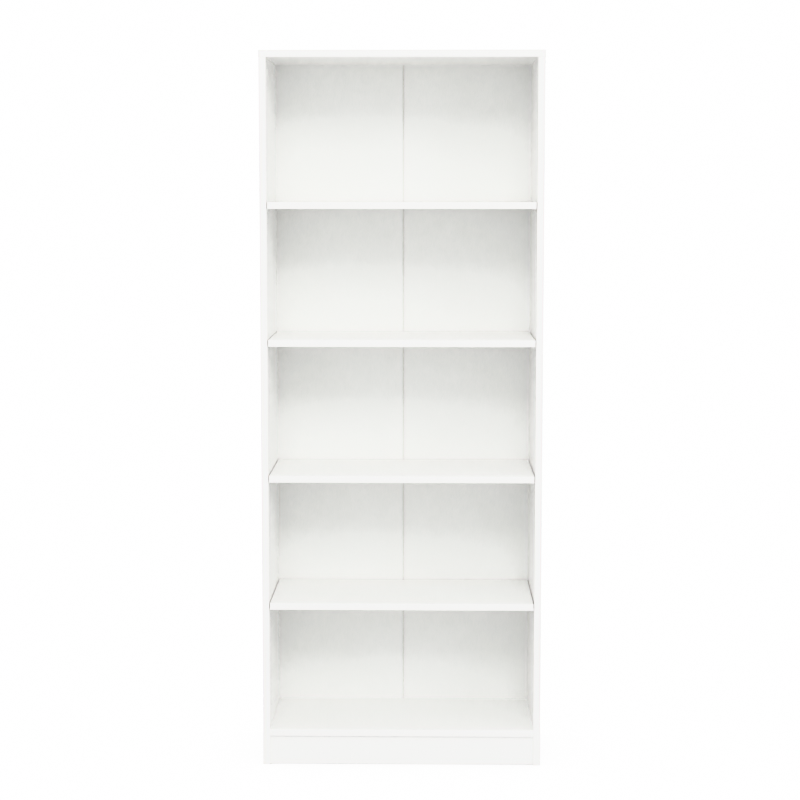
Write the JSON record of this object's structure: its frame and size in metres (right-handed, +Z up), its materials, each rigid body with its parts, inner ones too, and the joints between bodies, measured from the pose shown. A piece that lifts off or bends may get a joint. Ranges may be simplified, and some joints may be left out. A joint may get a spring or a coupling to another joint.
{
  "type": "bookcase with adjustable shelves",
  "caption": "Tall white open bookcase: loose shelves on push-in pins between two side panels, over a fixed bottom board and kick board, with a thin folded back.",
  "frame": {"origin": "on the floor, under the middle of the case", "axes": "+Z up, open front faces -Y, +X to the right as seen from the front"},
  "size_m": [0.708, 0.3, 1.8],
  "materials": {
    "white_board": "satin white foil on chipboard",
    "white_hardboard": "satin white lacquer on the front, raw brown fibre on the rear",
    "back_tape": "matt",
    "white_pin_plastic": "moulded satin",
    "white_cap_plastic": "fine matt",
    "zinc_plated_steel": "zinc plated",
    "die_cast_zinc": "as cast",
    "beech": "raw fluted"
  },
  "bodies": {
    "case": {"side_panel_left": "white_board", "side_panel_right": "white_board", "top_panel": "white_board", "bottom_panel": "white_board", "plinth": "white_board", "back_panel_left": "white_hardboard", "back_panel_right": "white_hardboard", "back_panel_tape": "back_tape", "cam_bolts": "zinc_plated_steel", "cam_locks": "die_cast_zinc", "wooden_dowels": "beech", "cam_cover_caps": "white_cap_plastic", "back_panel_nails": "zinc_plated_steel"},
    "shelf_1": {"shelf_1": "white_board"},
    "shelf_2": {"shelf_2": "white_board"},
    "shelf_3": {"shelf_3": "white_board"},
    "shelf_4": {"shelf_4": "white_board"},
    "shelf_pin_1_left_front": {"shelf_pin_1_left_front": "white_pin_plastic"},
    "shelf_pin_1_left_rear": {"shelf_pin_1_left_rear": "white_pin_plastic"},
    "shelf_pin_1_right_front": {"shelf_pin_1_right_front": "white_pin_plastic"},
    "shelf_pin_1_right_rear": {"shelf_pin_1_right_rear": "white_pin_plastic"},
    "shelf_pin_2_left_front": {"shelf_pin_2_left_front": "white_pin_plastic"},
    "shelf_pin_2_left_rear": {"shelf_pin_2_left_rear": "white_pin_plastic"},
    "shelf_pin_2_right_front": {"shelf_pin_2_right_front": "white_pin_plastic"},
    "shelf_pin_2_right_rear": {"shelf_pin_2_right_rear": "white_pin_plastic"},
    "shelf_pin_3_left_front": {"shelf_pin_3_left_front": "white_pin_plastic"},
    "shelf_pin_3_left_rear": {"shelf_pin_3_left_rear": "white_pin_plastic"},
    "shelf_pin_3_right_front": {"shelf_pin_3_right_front": "white_pin_plastic"},
    "shelf_pin_3_right_rear": {"shelf_pin_3_right_rear": "white_pin_plastic"},
    "shelf_pin_4_left_front": {"shelf_pin_4_left_front": "white_pin_plastic"},
    "shelf_pin_4_left_rear": {"shelf_pin_4_left_rear": "white_pin_plastic"},
    "shelf_pin_4_right_front": {"shelf_pin_4_right_front": "white_pin_plastic"},
    "shelf_pin_4_right_rear": {"shelf_pin_4_right_rear": "white_pin_plastic"}
  },
  "joints": [
    {"name": "shelf_1_pull_out", "type": "slide", "parent": "case", "child": "shelf_1", "axis": [0, -1, 0], "range_m": [0, 0.31]},
    {"name": "shelf_2_pull_out", "type": "slide", "parent": "case", "child": "shelf_2", "axis": [0, -1, 0], "range_m": [0, 0.31]},
    {"name": "shelf_3_pull_out", "type": "slide", "parent": "case", "child": "shelf_3", "axis": [0, -1, 0], "range_m": [0, 0.31]},
    {"name": "shelf_4_pull_out", "type": "slide", "parent": "case", "child": "shelf_4", "axis": [0, -1, 0], "range_m": [0, 0.31]},
    {"name": "shelf_pin_1_left_front_pull", "type": "slide", "parent": "case", "child": "shelf_pin_1_left_front", "axis": [1, 0, 0], "range_m": [0, 0.012]},
    {"name": "shelf_pin_1_left_rear_pull", "type": "slide", "parent": "case", "child": "shelf_pin_1_left_rear", "axis": [1, 0, 0], "range_m": [0, 0.012]},
    {"name": "shelf_pin_1_right_front_pull", "type": "slide", "parent": "case", "child": "shelf_pin_1_right_front", "axis": [-1, 0, 0], "range_m": [0, 0.012]},
    {"name": "shelf_pin_1_right_rear_pull", "type": "slide", "parent": "case", "child": "shelf_pin_1_right_rear", "axis": [-1, 0, 0], "range_m": [0, 0.012]},
    {"name": "shelf_pin_2_left_front_pull", "type": "slide", "parent": "case", "child": "shelf_pin_2_left_front", "axis": [1, 0, 0], "range_m": [0, 0.012]},
    {"name": "shelf_pin_2_left_rear_pull", "type": "slide", "parent": "case", "child": "shelf_pin_2_left_rear", "axis": [1, 0, 0], "range_m": [0, 0.012]},
    {"name": "shelf_pin_2_right_front_pull", "type": "slide", "parent": "case", "child": "shelf_pin_2_right_front", "axis": [-1, 0, 0], "range_m": [0, 0.012]},
    {"name": "shelf_pin_2_right_rear_pull", "type": "slide", "parent": "case", "child": "shelf_pin_2_right_rear", "axis": [-1, 0, 0], "range_m": [0, 0.012]},
    {"name": "shelf_pin_3_left_front_pull", "type": "slide", "parent": "case", "child": "shelf_pin_3_left_front", "axis": [1, 0, 0], "range_m": [0, 0.012]},
    {"name": "shelf_pin_3_left_rear_pull", "type": "slide", "parent": "case", "child": "shelf_pin_3_left_rear", "axis": [1, 0, 0], "range_m": [0, 0.012]},
    {"name": "shelf_pin_3_right_front_pull", "type": "slide", "parent": "case", "child": "shelf_pin_3_right_front", "axis": [-1, 0, 0], "range_m": [0, 0.012]},
    {"name": "shelf_pin_3_right_rear_pull", "type": "slide", "parent": "case", "child": "shelf_pin_3_right_rear", "axis": [-1, 0, 0], "range_m": [0, 0.012]},
    {"name": "shelf_pin_4_left_front_pull", "type": "slide", "parent": "case", "child": "shelf_pin_4_left_front", "axis": [1, 0, 0], "range_m": [0, 0.012]},
    {"name": "shelf_pin_4_left_rear_pull", "type": "slide", "parent": "case", "child": "shelf_pin_4_left_rear", "axis": [1, 0, 0], "range_m": [0, 0.012]},
    {"name": "shelf_pin_4_right_front_pull", "type": "slide", "parent": "case", "child": "shelf_pin_4_right_front", "axis": [-1, 0, 0], "range_m": [0, 0.012]},
    {"name": "shelf_pin_4_right_rear_pull", "type": "slide", "parent": "case", "child": "shelf_pin_4_right_rear", "axis": [-1, 0, 0], "range_m": [0, 0.012]}
  ]
}
